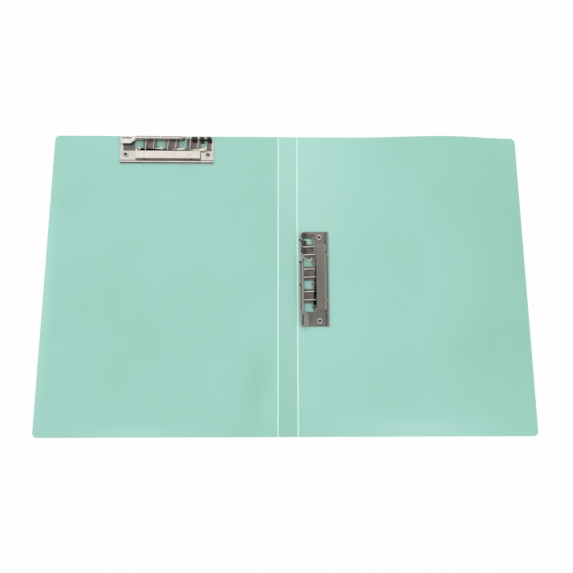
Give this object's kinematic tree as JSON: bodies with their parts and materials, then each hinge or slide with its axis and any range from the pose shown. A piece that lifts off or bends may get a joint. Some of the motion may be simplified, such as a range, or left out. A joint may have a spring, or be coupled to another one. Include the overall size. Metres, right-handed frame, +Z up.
{
  "type": "clip folder",
  "caption": "Flexible plastic sheet folder lying open, with a lever clip along the top of one cover and a like clip beside the spine on the other.",
  "frame": {"origin": "bottom centre of the open folder: the middle of the spine, on the surface that the folder lies on", "axes": "+X from the front cover towards the back cover, +Y towards the top edge of the pages, +Z up out of the inside faces"},
  "size_m": [0.49, 0.31, 0.0069],
  "materials": {
    "sheet_plastic": "satin",
    "plated_steel": "bright nickel plate",
    "spring_wire": "bright wire"
  },
  "bodies": {
    "back_cover": {"back_cover": "sheet_plastic", "side_clip_base_plate": "plated_steel", "side_clip_pivot_rod": "spring_wire", "side_clip_near_rivet": "plated_steel", "side_clip_far_rivet": "plated_steel"},
    "spine": {"spine": "sheet_plastic"},
    "front_cover": {"front_cover": "sheet_plastic", "top_clip_base_plate": "plated_steel", "top_clip_pivot_rod": "spring_wire", "top_clip_near_rivet": "plated_steel", "top_clip_far_rivet": "plated_steel"},
    "side_clip_lever": {"side_clip_lever": "plated_steel"},
    "side_clip_press_plate": {"side_clip_press_plate": "plated_steel"},
    "side_clip_springs": {"side_clip_spring_1": "spring_wire", "side_clip_spring_2": "spring_wire", "side_clip_spring_3": "spring_wire"},
    "top_clip_lever": {"top_clip_lever": "plated_steel"},
    "top_clip_press_plate": {"top_clip_press_plate": "plated_steel"},
    "top_clip_springs": {"top_clip_spring_1": "spring_wire", "top_clip_spring_2": "spring_wire", "top_clip_spring_3": "spring_wire"}
  },
  "joints": [
    {"name": "back_crease", "type": "hinge", "parent": "back_cover", "child": "spine", "pos_m": [0.01, 0, 0.00065], "axis": [0, 1, 0], "range_deg": [0, 90]},
    {"name": "front_crease", "type": "hinge", "parent": "spine", "child": "front_cover", "pos_m": [-0.01, 0, 0.00065], "axis": [0, 1, 0], "range_deg": [0, 90]},
    {"name": "top_clip_lever_hinge", "type": "hinge", "parent": "front_cover", "child": "top_clip_lever", "pos_m": [-0.1266, 0.15165, 0.0043], "axis": [-1, 0, 0], "range_deg": [0, 95]},
    {"name": "top_clip_press_hinge", "type": "hinge", "parent": "front_cover", "child": "top_clip_press_plate", "pos_m": [-0.1266, 0.1402, 0.0033], "axis": [-1, 0, 0], "range_deg": [0, 17.2]},
    {"name": "top_clip_spring_lift", "type": "hinge", "parent": "front_cover", "child": "top_clip_springs", "pos_m": [-0.1266, 0.15165, 0.00295], "axis": [-1, 0, 0], "range_deg": [0, 3.5]},
    {"name": "side_clip_lever_hinge", "type": "hinge", "parent": "back_cover", "child": "side_clip_lever", "pos_m": [0.01515, 0.0011, 0.0043], "axis": [0, -1, 0], "range_deg": [0, 95]},
    {"name": "side_clip_press_hinge", "type": "hinge", "parent": "back_cover", "child": "side_clip_press_plate", "pos_m": [0.0266, 0.0011, 0.0033], "axis": [0, -1, 0], "range_deg": [0, 17.2]},
    {"name": "side_clip_spring_lift", "type": "hinge", "parent": "back_cover", "child": "side_clip_springs", "pos_m": [0.01515, 0.0011, 0.00295], "axis": [0, -1, 0], "range_deg": [0, 3.5]}
  ],
  "couplings": [
    {"joint": "top_clip_press_hinge", "follows": "top_clip_lever_hinge", "ratio": 0.18},
    {"joint": "top_clip_spring_lift", "follows": "top_clip_lever_hinge", "ratio": 0.036},
    {"joint": "side_clip_press_hinge", "follows": "side_clip_lever_hinge", "ratio": 0.18},
    {"joint": "side_clip_spring_lift", "follows": "side_clip_lever_hinge", "ratio": 0.036}
  ]
}
